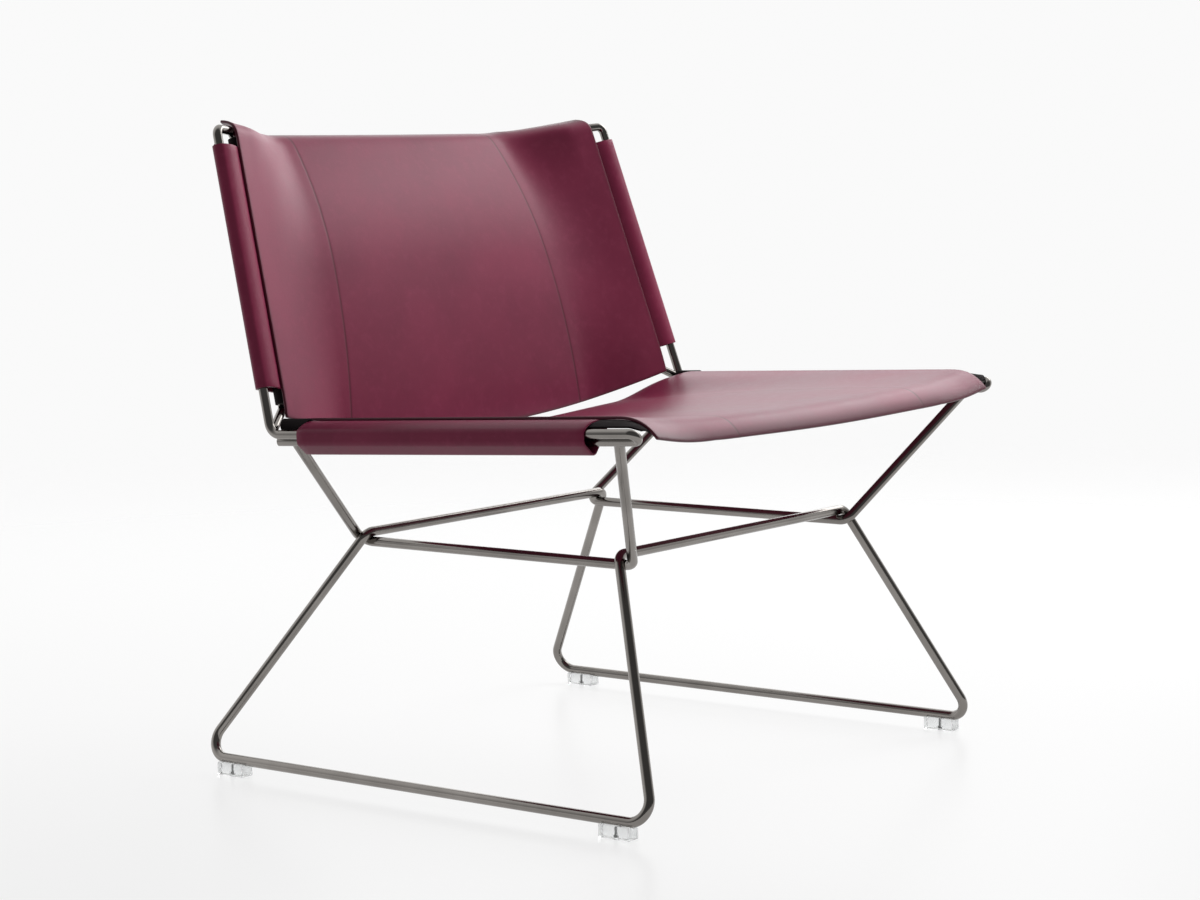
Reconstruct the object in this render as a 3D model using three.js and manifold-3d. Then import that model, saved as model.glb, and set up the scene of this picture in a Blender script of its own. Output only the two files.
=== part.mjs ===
// Low lounge chair: a bent rod frame on two floor runners carries a leather seat and a leather back.
// Each leather panel hangs between two hairpin rods, held by leather sleeves sewn behind it.
// Millimetres, +Z up. The sitter faces -Y, so the sitter's left is +X. The origin lies on the floor,
// under the middle of the chair.

import * as THREE from 'three';
import { mergeVertices } from 'three/addons/utils/BufferGeometryUtils.js';
import Module from 'manifold-3d';

const wasm = await Module();
wasm.setup();

// Rods
const ROD_DIAMETER = 11; // runners, legs, cross rods and struts
const LOOP_ROD_DIAMETER = 10; // hairpins inside the leather
const ROD_SIDES = 14; // flats round a rod
const BEND_STEPS = 6; // rings along a bend
const SAME_POINT = 0.03; // points closer than this are one
const JOINT_GAP = 0.3; // clearance where pieces are welded, seated or sewn together

// Base loop: runners, legs and cross rods
const RUNNER_LENGTH = 620; // between the floor corners
const RUNNER_SPREAD = 633; // between the two runners
const RUNNER_BEND = 20;
const KNOT_SPREAD = 432; // between the upper ends of the legs
const KNOT_HEIGHT = 266; // cross rods above the floor
const FRONT_CROSS_SETBACK = 112; // front cross rod behind the front floor corners
const REAR_CROSS_SETBACK = 163.5; // rear cross rod ahead of the rear floor corners
const KNOT_BEND = 14;

// Side links: level bars under the cross rods, with a strut rising from each end
const LINK_INSET = 10.5; // inboard of the upper ends of the legs
const LINK_FRONT_OVERHANG = 10.5; // past the front cross rod
const LINK_REAR_OVERHANG = 17.5; // past the rear cross rod
const LINK_BEND = 14;
const FRONT_STRUT_INSET = 24; // front strut behind the front end of the seat hairpin
const REAR_STRUT_INSET = 24; // rear strut ahead of the seat corner
const REAR_SLEEVE_SETBACK = 16; // seat sleeve ahead of the axis of the rear strut
const FRONT_SLEEVE_SETBACK = 29; // seat sleeve behind the axis of the front strut
const SADDLE_REACH = 3; // end of a strut short of the axis of the rod that it is coped to

// Hairpins: an outer and an inner rod on each side; the outer rod is bent at the seat corner
const CORNER_SPREAD = 743; // between the outer rods at the seat corners
const CORNER_SETBACK = 172; // seat corners ahead of the rear floor corners
const CORNER_HEIGHT = 388;
const CORNER_BEND = 16;
const SPLICE_INSET = 120; // butt weld in the outer rod, ahead of the seat corner

const BACK_LENGTH = 335; // seat corner to the closed top end
const BACK_PITCH = 35; // inner rod inboard of the outer rod
const BACK_DROP = 10; // inner rod behind the outer rod
const BACK_END_BEND = 9;
const FOOT_INSET = 28; // seat corner to the bend where the back's inner rod turns out
const FOOT_BEND = 9;
const FOOT_REACH = 11; // end of the back's inner rod short of the axis of the outer rod
const TOP_SLEEVE_SETBACK = 19; // back sleeve short of the closed top end
const BACK_RECLINE = 16.8; // degrees from upright
const BACK_END_SPREAD = 682; // between the outer rods at the top
const SEAT_LENGTH = 453; // seat corner to the closed front end
const SEAT_PITCH = 10; // inner rod inboard of the outer rod
const SEAT_DROP = 8; // inner rod below the outer rod
const SEAT_END_BEND = 6;
const SEAT_ROD_INSET = 2; // seat corner to the rear end of the inner rod
const SEAT_RISE = 2.5; // degrees up to the front
const SEAT_END_SPREAD = 691; // between the outer rods at the front

// Leather
const PANEL_THICKNESS = 3;
const PLY_THICKNESS = 2.5; // one layer of a sleeve
const PANEL_CELLS_ACROSS = 30;
const HEEL_CELLS = 3; // along the panel: before, beside and past the sleeves
const BODY_CELLS = 9;
const LIP_CELLS = 4;
const ARC_STEPS = 7; // steps round each end of a sleeve's section

const BACK_SHAPE = {
  sleeveStart: 50, // from the seat corner
  sleeveEnd: BACK_LENGTH - TOP_SLEEVE_SETBACK,
  lipInset: 0, // end of the sleeve to the line where the panel starts to curl
  sleeveSlack: 0, // loose leather behind the rods
  meetInset: 5, // inner rod to the line where the two layers of the sleeve meet
  tailEnd: 50, // sewn end of the sleeve, inboard of the outer rod
  edgeInset: 26, // free side edge of the panel, inboard of the outer rod
  edgeLift: 0, // free side edge proud of the sleeve
  wingSlope: 0.28, // fall of the panel per unit inboard, along its straight wings
  wingMargin: 2, // straight wing past the sewn end of the sleeve
  wingRound: 100, // bend from the wing to the level middle
  sagStart: 4, // added sag of the centre line at both ends
  sagEnd: 2,
  startRollLength: 154, // stretch of the middle that rolls away from the sitter, from the start
  startRollDrop: 15,
  endRollLength: 171, // the same towards the end
  endRollDrop: 34,
  heelLength: 34, // free start of the wings, before the sleeves, which curls away from the sitter
  heelDrop: 1.5,
  heelBow: 30, // added length of the heel at the middle
  lipLength: 32.5, // free end of the panel, past the sleeves, which curls away from the sitter
  lipDrop: 20,
  lipFlare: 15, // added curl half way up the wings
  lipPower: 5, // how late the curl comes
};
const SEAT_SHAPE = {
  sleeveStart: REAR_STRUT_INSET + REAR_SLEEVE_SETBACK,
  sleeveEnd: SEAT_LENGTH - FRONT_STRUT_INSET - FRONT_SLEEVE_SETBACK,
  lipInset: 12,
  sleeveSlack: 6,
  meetInset: 20,
  tailEnd: 48,
  edgeInset: 24,
  edgeLift: 14,
  wingSlope: 0.12,
  wingMargin: 4,
  wingRound: 100,
  sagStart: 12,
  sagEnd: 3.5,
  startRollLength: 386,
  startRollDrop: 16.5,
  endRollLength: 120,
  endRollDrop: 0.5,
  heelLength: 32,
  heelDrop: 6,
  heelBow: 6,
  lipLength: 51,
  lipDrop: 21,
  lipFlare: 1.5,
  lipPower: 3,
};

// Glides
const GLIDE_LENGTH = 38;
const GLIDE_WIDTH = 17;
const GLIDE_HEIGHT = 14;
const GLIDE_GROOVE_DEPTH = 2.3; // runner sunk into the glide
const GLIDE_CHAMFER = 1.5;
const GROOVE_STEPS = 6;
const GLIDE_FRONT_INSET = 43; // middle of a glide to the floor corner
const GLIDE_REAR_INSET = 50;
const SCREW_HEAD_DIAMETER = 7;
const SCREW_HEAD_HEIGHT = 2.5;
const SCREW_SHANK_DIAMETER = 3.6;
const SCREW_BITE = 5; // shank inside the runner
const SCREW_SINK = 1.7; // head above the floor
const SCREW_SIDES = 16;

// Places that follow from the sizes above
const RUNNER_HEIGHT = GLIDE_HEIGHT - GLIDE_GROOVE_DEPTH + JOINT_GAP + ROD_DIAMETER / 2;
const FRONT_CROSS_Y = -RUNNER_LENGTH / 2 + FRONT_CROSS_SETBACK;
const REAR_CROSS_Y = RUNNER_LENGTH / 2 - REAR_CROSS_SETBACK;
const LINK_HEIGHT = KNOT_HEIGHT - ROD_DIAMETER - JOINT_GAP;
const CORNER_Y = RUNNER_LENGTH / 2 - CORNER_SETBACK;
const SLEEVE_RADIUS = LOOP_ROD_DIAMETER / 2 + JOINT_GAP + PLY_THICKNESS;
const GLIDE_Y = {
  front: -RUNNER_LENGTH / 2 + GLIDE_FRONT_INSET,
  rear: RUNNER_LENGTH / 2 - GLIDE_REAR_INSET,
};

const SIDES = [{ name: 'left', sign: 1 }, { name: 'right', sign: -1 }];

// Materials
const smokedChrome = new THREE.MeshStandardMaterial({ color: 0x6e6a66, roughness: 0.18, metalness: 1 });
const burgundyLeather = new THREE.MeshStandardMaterial({ color: 0x6f3446, roughness: 0.5, metalness: 0 });
const clearPlastic = new THREE.MeshStandardMaterial({ color: 0xe6eef0, roughness: 0.12, metalness: 0 });
const darkSteel = new THREE.MeshStandardMaterial({ color: 0x46474a, roughness: 0.35, metalness: 1 });

const vec = (x, y, z) => new THREE.Vector3(x, y, z);
const radians = THREE.MathUtils.degToRad;

// A sling is the flat space between two outer rods: along runs from the seat corner to the closed
// end, and behind points away from the sitter.
function makeSling(length, endSpread, pitch, drop, along, behind, shape) {
  const taper = Math.atan2((CORNER_SPREAD - endSpread) / 2, length);
  return { length, endSpread, pitch, drop, along, behind, shape, taper };
}

const recline = radians(BACK_RECLINE);
const rise = radians(SEAT_RISE);
const back = makeSling(
  BACK_LENGTH,
  BACK_END_SPREAD,
  BACK_PITCH,
  BACK_DROP,
  vec(0, Math.sin(recline), Math.cos(recline)),
  vec(0, Math.cos(recline), -Math.sin(recline)),
  BACK_SHAPE,
);
const seat = makeSling(
  SEAT_LENGTH,
  SEAT_END_SPREAD,
  SEAT_PITCH,
  SEAT_DROP,
  vec(0, -Math.cos(rise), Math.sin(rise)),
  vec(0, -Math.sin(rise), -Math.cos(rise)),
  SEAT_SHAPE,
);

// Half the distance between the outer rods of a sling at a place along it
function railHalf(sling, along) {
  return CORNER_SPREAD / 2 - along * Math.tan(sling.taper);
}

function slingPoint(sling, x, behind, along) {
  return vec(x, CORNER_Y, CORNER_HEIGHT)
    .addScaledVector(sling.behind, behind)
    .addScaledVector(sling.along, along);
}

// A rod's centreline: straight runs joined by round bends, with a ring at every place that it needs
class RodPath extends THREE.Curve {
  constructor(points, radii) {
    super();
    this.points = [];
    this.tangents = [];
    this.addStation(points[0], points[1].clone().sub(points[0]).normalize());
    radii.forEach((radius, i) => this.addBend(points[i], points[i + 1], points[i + 2], radius));
    const last = points.length - 1;
    this.addStation(points[last], points[last].clone().sub(points[last - 1]).normalize());
  }

  addStation(point, tangent) {
    this.points.push(point.clone());
    this.tangents.push(tangent.clone());
  }

  addBend(before, corner, after, radius) {
    const arriving = corner.clone().sub(before).normalize();
    const leaving = after.clone().sub(corner).normalize();
    const turn = arriving.angleTo(leaving);
    const start = corner.clone().addScaledVector(arriving, -radius * Math.tan(turn / 2));
    const inward = leaving.clone().addScaledVector(arriving, -arriving.dot(leaving)).normalize();
    const centre = start.clone().addScaledVector(inward, radius);
    for (let i = 0; i <= BEND_STEPS; i += 1) {
      const angle = (turn * i) / BEND_STEPS;
      const point = centre.clone()
        .addScaledVector(inward, -radius * Math.cos(angle))
        .addScaledVector(arriving, radius * Math.sin(angle));
      const tangent = arriving.clone()
        .multiplyScalar(Math.cos(angle))
        .addScaledVector(inward, Math.sin(angle));
      this.addStation(point, tangent);
    }
  }

  station(u) {
    return Math.round(u * (this.points.length - 1));
  }

  getPoint(u, target = new THREE.Vector3()) {
    return target.copy(this.points[this.station(u)]);
  }

  getPointAt(u, target = new THREE.Vector3()) {
    return this.getPoint(u, target);
  }

  getTangentAt(u, target = new THREE.Vector3()) {
    return target.copy(this.tangents[this.station(u)]);
  }

  getSpacedPoints() {
    return this.points.map((point) => point.clone());
  }
}

function rodGeometry(path, diameter) {
  const section = new THREE.Shape().absarc(0, 0, diameter / 2, 0, Math.PI * 2);
  return new THREE.ExtrudeGeometry(section, {
    steps: path.points.length - 1,
    curveSegments: ROD_SIDES / 2,
    extrudePath: path,
  });
}

// Joining and cutting
function toSolid(geometry) {
  const bare = geometry.clone();
  bare.deleteAttribute('normal');
  bare.deleteAttribute('uv');
  const merged = mergeVertices(bare, 1e-4);
  return new wasm.Manifold(new wasm.Mesh({
    numProp: 3,
    vertProperties: new Float32Array(merged.attributes.position.array),
    triVerts: new Uint32Array(merged.index.array),
  }));
}

function toGeometry(solid) {
  const mesh = solid.getMesh();
  const geometry = new THREE.BufferGeometry();
  geometry.setAttribute('position', new THREE.BufferAttribute(new Float32Array(mesh.vertProperties), 3));
  geometry.setIndex(new THREE.BufferAttribute(new Uint32Array(mesh.triVerts), 1));
  geometry.computeVertexNormals();
  return geometry;
}

function cutAway(geometry, cutters) {
  return toGeometry(cutters.reduce((solid, cutter) => solid.subtract(toSolid(cutter)), toSolid(geometry)));
}

function namedMesh(name, geometry, material) {
  const mesh = new THREE.Mesh(geometry, material);
  mesh.name = name;
  return mesh;
}

// An upright round bar from one height to another
function uprightBar(diameter, bottom, top) {
  const bar = new THREE.CylinderGeometry(diameter / 2, diameter / 2, top - bottom, SCREW_SIDES);
  bar.rotateX(Math.PI / 2);
  bar.translate(0, 0, (bottom + top) / 2);
  return bar;
}

function outerPoint(sling, sign, along) {
  return slingPoint(sling, sign * railHalf(sling, along), 0, along);
}

function innerPoint(sling, sign, along) {
  return slingPoint(sling, sign * (railHalf(sling, along) - sling.pitch), sling.drop, along);
}

// Back hairpin: its inner rod turns out to the outer rod and meets it in the middle of the corner bend
function backHairpinPath(sign) {
  const corner = outerPoint(back, sign, 0);
  const foot = innerPoint(back, sign, FOOT_INSET);
  const halfTurn = (Math.PI - back.along.angleTo(seat.along)) / 2;
  const weld = corner.clone().addScaledVector(
    back.along.clone().add(seat.along).normalize(),
    CORNER_BEND / Math.cos(halfTurn) - CORNER_BEND,
  );
  const points = [
    outerPoint(seat, sign, SPLICE_INSET),
    corner,
    outerPoint(back, sign, BACK_LENGTH),
    innerPoint(back, sign, BACK_LENGTH),
    foot,
    weld.clone().addScaledVector(foot.clone().sub(weld).normalize(), FOOT_REACH),
  ];
  return new RodPath(points, [CORNER_BEND, BACK_END_BEND, BACK_END_BEND, FOOT_BEND]);
}

function seatHairpinPath(sign) {
  const points = [
    outerPoint(seat, sign, SPLICE_INSET + JOINT_GAP),
    outerPoint(seat, sign, SEAT_LENGTH),
    innerPoint(seat, sign, SEAT_LENGTH),
    innerPoint(seat, sign, SEAT_ROD_INSET),
  ];
  return new RodPath(points, [SEAT_END_BEND, SEAT_END_BEND]);
}

// Base loop half: half a cross rod, a leg, the runner, a leg and half the other cross rod
function baseFramePath(sign) {
  const runnerX = sign * RUNNER_SPREAD / 2;
  const knotX = sign * KNOT_SPREAD / 2;
  const weldX = sign * JOINT_GAP / 2;
  const points = [
    vec(weldX, FRONT_CROSS_Y, KNOT_HEIGHT),
    vec(knotX, FRONT_CROSS_Y, KNOT_HEIGHT),
    vec(runnerX, -RUNNER_LENGTH / 2, RUNNER_HEIGHT),
    vec(runnerX, RUNNER_LENGTH / 2, RUNNER_HEIGHT),
    vec(knotX, REAR_CROSS_Y, KNOT_HEIGHT),
    vec(weldX, REAR_CROSS_Y, KNOT_HEIGHT),
  ];
  return new RodPath(points, [KNOT_BEND, RUNNER_BEND, RUNNER_BEND, KNOT_BEND]);
}

function baseFrame(sign) {
  const rodBottom = RUNNER_HEIGHT - ROD_DIAMETER / 2;
  const screwHoles = Object.values(GLIDE_Y).map((y) => uprightBar(
    SCREW_SHANK_DIAMETER + 2 * JOINT_GAP,
    rodBottom - ROD_DIAMETER / 2,
    rodBottom + SCREW_BITE + JOINT_GAP,
  ).translate(sign * RUNNER_SPREAD / 2, y, 0));
  return cutAway(rodGeometry(baseFramePath(sign), ROD_DIAMETER), screwHoles);
}

// Side link: its bar is saddled to the base loop, and both struts are coped to the seat's inner rod
function sideLink(sign) {
  const linkX = sign * (KNOT_SPREAD / 2 - LINK_INSET);
  const rearCorner = vec(linkX, REAR_CROSS_Y + LINK_REAR_OVERHANG, LINK_HEIGHT);
  const frontCorner = vec(linkX, FRONT_CROSS_Y - LINK_FRONT_OVERHANG, LINK_HEIGHT);
  const strutTop = (foot, along) => {
    const top = innerPoint(seat, sign, along);
    return top.clone().addScaledVector(foot.clone().sub(top).normalize(), SADDLE_REACH);
  };
  const path = new RodPath([
    strutTop(rearCorner, REAR_STRUT_INSET),
    rearCorner,
    frontCorner,
    strutTop(frontCorner, SEAT_LENGTH - FRONT_STRUT_INSET),
  ], [LINK_BEND, LINK_BEND]);
  return cutAway(rodGeometry(path, ROD_DIAMETER), [
    rodGeometry(seatHairpinPath(sign), LOOP_ROD_DIAMETER + 2 * JOINT_GAP),
    rodGeometry(baseFramePath(sign), ROD_DIAMETER + 2 * JOINT_GAP),
  ]);
}

// Section of the leather across one outer rod: x runs inboard from the rod, y away from the sitter
function wingLine(sling) {
  const { wingSlope, edgeLift } = sling.shape;
  const steepness = Math.hypot(1, wingSlope);
  const pitch = sling.pitch * Math.cos(sling.taper);
  const face = sling.drop - (SLEEVE_RADIUS + JOINT_GAP) * steepness - edgeLift;
  return {
    pitch,
    sleeveFace: (x) => face + JOINT_GAP * steepness + wingSlope * (x - pitch),
    panelMiddle: (x) => face - (PANEL_THICKNESS / 2) * steepness + wingSlope * (x - pitch),
    layer: PLY_THICKNESS * steepness,
  };
}

function arcPoints(x, y, radius, from, to) {
  return Array.from({ length: ARC_STEPS + 1 }, (_, i) => {
    const angle = from + ((to - from) * i) / ARC_STEPS;
    return new THREE.Vector2(x + radius * Math.cos(angle), y + radius * Math.sin(angle));
  });
}

// Angle of the tangent point on a circle, as seen from a point outside it
function tangentAngle(point, x, y, radius, side) {
  const reach = Math.hypot(point.x - x, point.y - y);
  return Math.atan2(point.y - y, point.x - x) + side * Math.acos(radius / reach);
}

// Outline round both rods: from the panel's edge round the outer rod and the inner rod to the meeting
// line of the two layers
function sleeveLoop(sling, radius, edge, meeting) {
  const { pitch } = wingLine(sling);
  const slack = sling.shape.sleeveSlack;
  const square = Math.atan2(pitch, -sling.drop) - 2 * Math.PI;
  const innerStart = square + 2 * Math.PI;
  const points = [
    ...arcPoints(0, 0, radius, tangentAngle(edge, 0, 0, radius, -1), -Math.PI),
    ...arcPoints(0, slack, radius, -Math.PI, square),
    ...arcPoints(pitch, sling.drop + slack, radius, innerStart,
      tangentAngle(meeting, pitch, sling.drop + slack, radius, 1)),
  ];
  return points.filter((point, i) => i === 0 || point.distanceTo(points[i - 1]) > SAME_POINT);
}

function sleeveShape(sling, direction) {
  const { edgeInset, tailEnd } = sling.shape;
  const { pitch, sleeveFace, layer } = wingLine(sling);
  const meetX = pitch + SLEEVE_RADIUS + sling.shape.meetInset;
  const onFace = (x, layers) => new THREE.Vector2(x, sleeveFace(x) + layers * layer);
  const outside = [
    onFace(edgeInset, 0),
    ...sleeveLoop(sling, SLEEVE_RADIUS, onFace(edgeInset, 0), onFace(meetX, 2)),
    onFace(meetX, 2),
    onFace(tailEnd, 2),
    onFace(tailEnd, 0),
  ];
  const inside = [
    onFace(edgeInset, 1),
    ...sleeveLoop(sling, SLEEVE_RADIUS - PLY_THICKNESS, onFace(edgeInset, 1), onFace(meetX, 1)),
    onFace(meetX, 1),
  ];
  const turned = (points) => points.map((point) => new THREE.Vector2(direction * point.x, point.y));
  const shape = new THREE.Shape(turned(outside));
  shape.holes.push(new THREE.Path(turned(inside).reverse()));
  return shape;
}

function sleeveMesh(name, sling, localSign) {
  const { sleeveStart, sleeveEnd } = sling.shape;
  const depth = (sleeveEnd - sleeveStart) / Math.cos(sling.taper);
  const geometry = new THREE.ExtrudeGeometry(sleeveShape(sling, -localSign), { depth, bevelEnabled: false });
  const mesh = namedMesh(name, geometry, burgundyLeather);
  mesh.position.set(localSign * railHalf(sling, sleeveStart), 0, sleeveStart);
  mesh.rotation.y = -localSign * sling.taper;
  return mesh;
}

// Half the width of a panel at a place along its sling
function panelHalf(sling, along) {
  return railHalf(sling, along) - sling.shape.edgeInset / Math.cos(sling.taper);
}

// Place along the sling where its panel starts to curl away from the sitter
function lipStart(sling) {
  return sling.shape.sleeveEnd + sling.shape.lipInset;
}

// Length of a panel before the sleeves; across runs from -1 to 1 between the side edges
function heelLengthAt(sling, across) {
  return sling.shape.heelLength + sling.shape.heelBow * (1 - across ** 2);
}

// Depth of the panel's middle layer behind the plane of the outer rods
function panelDepth(sling, x, along) {
  const shape = sling.shape;
  const end = lipStart(sling) + shape.lipLength;
  const half = railHalf(sling, along) * Math.cos(sling.taper);
  const inboard = half - Math.abs(x) * Math.cos(sling.taper);
  const wingEnd = shape.tailEnd + shape.wingMargin;
  const past = Math.max(0, inboard - wingEnd);
  const levelling = Math.min(1, past / shape.wingRound);
  const middle = levelling ** 2 * (3 - 2 * levelling);
  const wing = wingLine(sling).panelMiddle(Math.min(inboard, wingEnd))
    + shape.wingSlope * shape.wingRound * (levelling - levelling ** 2 / 2);
  const sag = THREE.MathUtils.lerp(shape.sagStart, shape.sagEnd, along / end)
    * Math.sin((Math.PI / 2) * (past / (half - wingEnd))) ** 2;
  const rollStart = shape.sleeveStart - shape.heelLength + shape.startRollLength;
  const startRoll = Math.max(0, rollStart - along) / shape.startRollLength;
  const endRoll = Math.max(0, along - end + shape.endRollLength) / shape.endRollLength;
  const heel = Math.max(0, shape.sleeveStart - along) / heelLengthAt(sling, x / panelHalf(sling, along));
  const lip = Math.max(0, along - lipStart(sling)) / shape.lipLength;
  const flare = Math.min(1, Math.max(0, inboard - shape.edgeInset) / shape.wingRound);
  return wing + sag
    + middle * (shape.startRollDrop * startRoll ** 2 + shape.endRollDrop * endRoll ** 2)
    + (1 - middle) * shape.heelDrop * heel ** 2
    + (shape.lipDrop + shape.lipFlare * Math.sin(Math.PI * flare)) * lip ** shape.lipPower;
}

// Place along the sling of a row of the panel's points
function panelRow(sling, across, row) {
  const { sleeveStart, lipLength } = sling.shape;
  const bodyEnd = lipStart(sling);
  if (row < HEEL_CELLS) {
    return sleeveStart - heelLengthAt(sling, across) * (1 - row / HEEL_CELLS);
  }
  const lipRow = row - HEEL_CELLS - BODY_CELLS;
  if (lipRow > 0) {
    return bodyEnd + (lipLength * lipRow) / LIP_CELLS;
  }
  return bodyEnd + ((bodyEnd - sleeveStart) * lipRow) / BODY_CELLS;
}

// A panel starts as a thin box whose points are then laid on the sling
function panelGeometry(sling) {
  const rows = HEEL_CELLS + BODY_CELLS + LIP_CELLS;
  const slab = new THREE.BoxGeometry(2, PANEL_THICKNESS, rows, PANEL_CELLS_ACROSS, 1, rows);
  const position = slab.attributes.position;
  const nudge = 0.5;
  for (let i = 0; i < position.count; i += 1) {
    const across = position.getX(i);
    const along = panelRow(sling, across, position.getZ(i) + rows / 2);
    const x = across * panelHalf(sling, along);
    const slopeX = panelDepth(sling, x + nudge, along) - panelDepth(sling, x - nudge, along);
    const slopeAlong = panelDepth(sling, x, along + nudge) - panelDepth(sling, x, along - nudge);
    const normal = vec(-slopeX, 2 * nudge, -slopeAlong).normalize();
    const place = vec(x, panelDepth(sling, x, along), along).addScaledVector(normal, position.getY(i));
    position.setXYZ(i, place.x, place.y, place.z);
  }
  slab.deleteAttribute('uv');
  slab.deleteAttribute('normal');
  const panel = mergeVertices(slab, 1e-4);
  panel.computeVertexNormals();
  return panel;
}

// Leather of one sling in its own turned group; flip is -1 where the group's x points to the right
function slingLeather(prefix, sling, flip) {
  const group = new THREE.Group();
  group.position.set(0, CORNER_Y, CORNER_HEIGHT);
  group.add(namedMesh(`${prefix}_panel`, panelGeometry(sling), burgundyLeather));
  for (const side of SIDES) {
    group.add(sleeveMesh(`${prefix}_sleeve_${side.name}`, sling, flip * side.sign));
  }
  return group;
}

// Glide: a clear block with a groove for the runner and a sunk hole for its screw
function glideGeometry() {
  const half = GLIDE_WIDTH / 2;
  const grooveRadius = ROD_DIAMETER / 2 + JOINT_GAP;
  const grooveHalfAngle = Math.acos((RUNNER_HEIGHT - GLIDE_HEIGHT) / grooveRadius);
  const section = new THREE.Shape();
  section.moveTo(-half + GLIDE_CHAMFER, 0);
  section.lineTo(half - GLIDE_CHAMFER, 0);
  section.lineTo(half, GLIDE_CHAMFER);
  section.lineTo(half, GLIDE_HEIGHT);
  section.absarc(0, RUNNER_HEIGHT, grooveRadius, -Math.PI / 2 + grooveHalfAngle,
    -Math.PI / 2 - grooveHalfAngle, true);
  section.lineTo(-half, GLIDE_HEIGHT);
  section.lineTo(-half, GLIDE_CHAMFER);
  section.closePath();
  const block = new THREE.ExtrudeGeometry(section, {
    depth: GLIDE_LENGTH,
    bevelEnabled: false,
    curveSegments: GROOVE_STEPS,
  });
  block.rotateX(Math.PI / 2);
  block.translate(0, GLIDE_LENGTH / 2, 0);
  const seatHeight = SCREW_SINK + SCREW_HEAD_HEIGHT + JOINT_GAP;
  return cutAway(block, [
    uprightBar(SCREW_HEAD_DIAMETER + 2 * JOINT_GAP, -GLIDE_CHAMFER, seatHeight),
    uprightBar(SCREW_SHANK_DIAMETER + 2 * JOINT_GAP, 0, GLIDE_HEIGHT),
  ]);
}

function screwGeometry() {
  const top = RUNNER_HEIGHT - ROD_DIAMETER / 2 + SCREW_BITE;
  const headTop = SCREW_SINK + SCREW_HEAD_HEIGHT;
  const profile = [
    new THREE.Vector2(0, SCREW_SINK),
    new THREE.Vector2(SCREW_HEAD_DIAMETER / 2, SCREW_SINK),
    new THREE.Vector2(SCREW_HEAD_DIAMETER / 2, headTop),
    new THREE.Vector2(SCREW_SHANK_DIAMETER / 2, headTop),
    new THREE.Vector2(SCREW_SHANK_DIAMETER / 2, top),
    new THREE.Vector2(0, top),
  ];
  return new THREE.LatheGeometry(profile, SCREW_SIDES).rotateX(Math.PI / 2);
}

// Assembly
const frame = new THREE.Group();
for (const { name, sign } of SIDES) {
  frame.add(namedMesh(`base_frame_${name}`, baseFrame(sign), smokedChrome));
  frame.add(namedMesh(`side_link_${name}`, sideLink(sign), smokedChrome));
  const backHairpin = rodGeometry(backHairpinPath(sign), LOOP_ROD_DIAMETER);
  const seatHairpin = rodGeometry(seatHairpinPath(sign), LOOP_ROD_DIAMETER);
  frame.add(namedMesh(`back_hairpin_${name}`, backHairpin, smokedChrome));
  frame.add(namedMesh(`seat_hairpin_${name}`, seatHairpin, smokedChrome));
}

const glides = new THREE.Group();
for (const { name, sign } of SIDES) {
  for (const [end, y] of Object.entries(GLIDE_Y)) {
    const foot = new THREE.Group();
    foot.position.set(sign * RUNNER_SPREAD / 2, y, 0);
    foot.add(namedMesh(`glide_${end}_${name}`, glideGeometry(), clearPlastic));
    foot.add(namedMesh(`glide_screw_${end}_${name}`, screwGeometry(), darkSteel));
    glides.add(foot);
  }
}

const backLeather = slingLeather('back', back, 1);
backLeather.rotation.x = -recline;
const seatLeather = slingLeather('seat', seat, -1);
seatLeather.rotation.set(Math.PI / 2 - rise, 0, Math.PI);

const chair = new THREE.Group();
chair.add(frame, glides, backLeather, seatLeather);
const bounds = new THREE.Box3().setFromObject(chair, true);
chair.position.y = -(bounds.min.y + bounds.max.y) / 2;

const object = new THREE.Group();
object.add(chair);

export default object;
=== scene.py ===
"""A low lounge chair: two leather slings stretched on a bent rod frame, on a pale studio floor."""

import logging
import math
from collections.abc import Callable, Sequence
from dataclasses import dataclass
from enum import Enum

import bpy
from mathutils import Matrix, Vector


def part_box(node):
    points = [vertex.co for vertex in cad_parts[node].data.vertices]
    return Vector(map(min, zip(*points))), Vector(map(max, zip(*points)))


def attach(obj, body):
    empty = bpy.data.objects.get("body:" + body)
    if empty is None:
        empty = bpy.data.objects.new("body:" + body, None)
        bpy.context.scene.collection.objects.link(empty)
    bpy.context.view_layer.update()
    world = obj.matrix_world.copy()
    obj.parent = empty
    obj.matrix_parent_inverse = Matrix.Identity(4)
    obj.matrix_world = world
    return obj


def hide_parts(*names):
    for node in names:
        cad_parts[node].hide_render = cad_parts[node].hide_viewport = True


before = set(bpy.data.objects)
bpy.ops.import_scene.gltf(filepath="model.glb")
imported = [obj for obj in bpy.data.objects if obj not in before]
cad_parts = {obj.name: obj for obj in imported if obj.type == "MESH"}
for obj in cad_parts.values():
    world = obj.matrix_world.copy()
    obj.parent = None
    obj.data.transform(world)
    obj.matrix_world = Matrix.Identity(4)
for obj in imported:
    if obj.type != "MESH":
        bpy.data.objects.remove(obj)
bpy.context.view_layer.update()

MM = 0.001
TOUCH = 0.01 * MM  # points nearer than this are one
BODY = "root"

Piece = bpy.types.Object
Material = bpy.types.Material
Place = tuple[float, float]
Triple = tuple[float, float, float]
Marked = tuple[Vector, float, float]

log = logging.getLogger("lounge_chair")


class Side(Enum):
    """The sitter's left and right."""

    LEFT = "left"
    RIGHT = "right"


class End(Enum):
    """Front and rear of the runners."""

    FRONT = "front"
    REAR = "rear"


class Slot(Enum):
    """Finishes that the record knows."""

    CHROME = "smoked_chrome"
    LEATHER = "burgundy_leather"
    PLASTIC = "clear_plastic"
    STEEL = "dark_steel"


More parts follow.
